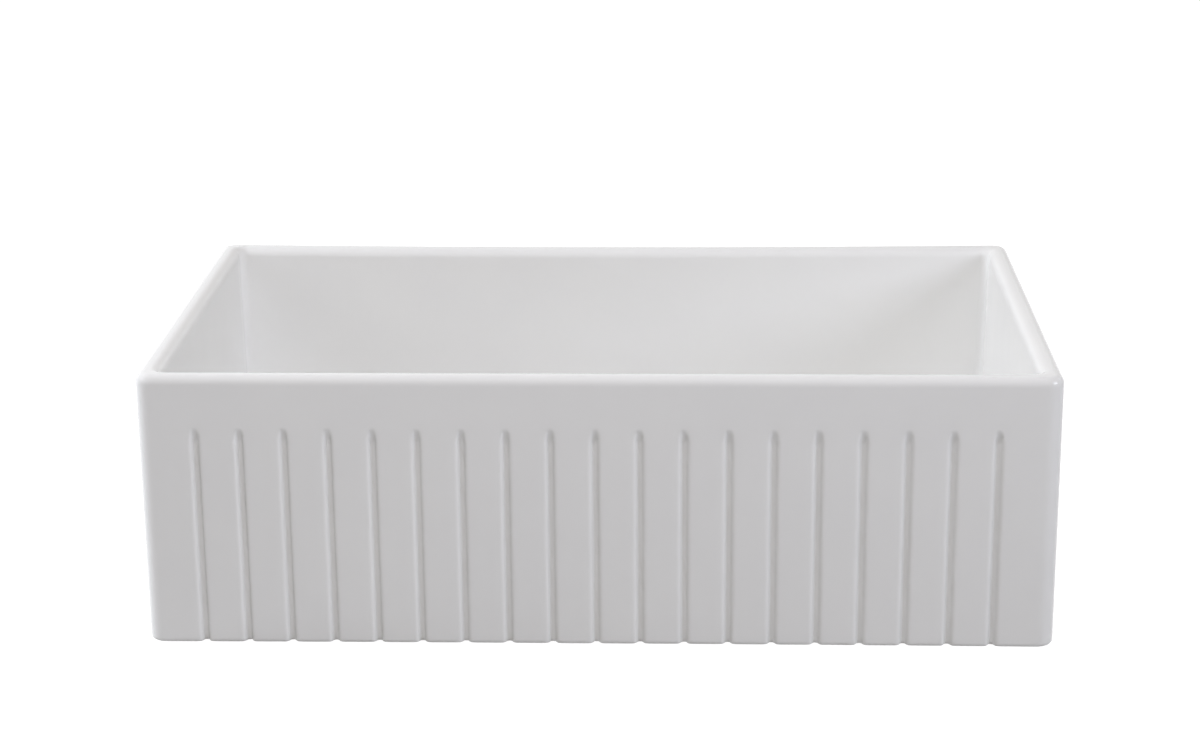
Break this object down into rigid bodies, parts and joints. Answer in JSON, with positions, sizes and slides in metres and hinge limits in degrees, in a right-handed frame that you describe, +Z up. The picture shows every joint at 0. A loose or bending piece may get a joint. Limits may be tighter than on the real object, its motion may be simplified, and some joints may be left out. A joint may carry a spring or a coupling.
{
  "type": "farmhouse apron front sink",
  "caption": "Fluted apron front kitchen sink: a deep rectangular fireclay bowl with a lift-out basket strainer waste and a stopper that slides in it.",
  "frame": {"origin": "centre of the basin's flat underside, on the outlet's axis", "axes": "+X along the width, -Y out of the apron front towards the room, +Z up out of the bowl"},
  "size_m": [0.838, 0.48, 0.425],
  "materials": {
    "fireclay_glaze": "glossy white glaze on fireclay",
    "waste_body_steel": "brushed",
    "sealing_putty": "matt putty",
    "gasket_rubber": "matt",
    "fibre_board": "matt fibre",
    "nut_metal": "cast and tumbled",
    "washer_plastic": "translucent white",
    "tube_chrome": "polished",
    "basket_steel": "polished and brushed",
    "stopper_rubber": "smooth"
  },
  "bodies": {
    "basin": {"basin": "fireclay_glaze", "strainer_body": "waste_body_steel", "flange_seal": "sealing_putty", "under_gasket": "gasket_rubber", "friction_ring": "fibre_board", "locknut": "nut_metal", "spider": "waste_body_steel", "tailpiece_washer": "washer_plastic", "tailpiece": "tube_chrome", "coupling_nut": "nut_metal"},
    "basket": {"basket_cup": "basket_steel", "basket_sleeve": "basket_steel", "sleeve_nut": "basket_steel", "sleeve_o_ring": "gasket_rubber"},
    "stopper": {"stopper_stem": "basket_steel", "stopper_knob": "basket_steel", "stopper_seal": "stopper_rubber", "stopper_plate": "basket_steel", "plate_nut": "nut_metal", "stem_nut": "nut_metal"}
  },
  "joints": [
    {"name": "basket_lift", "type": "slide", "parent": "basin", "child": "basket", "axis": [0, 0, 1], "range_m": [0, 0.33]},
    {"name": "stopper_travel", "type": "slide", "parent": "basket", "child": "stopper", "axis": [0, 0, 1], "range_m": [0, 0.009]}
  ]
}
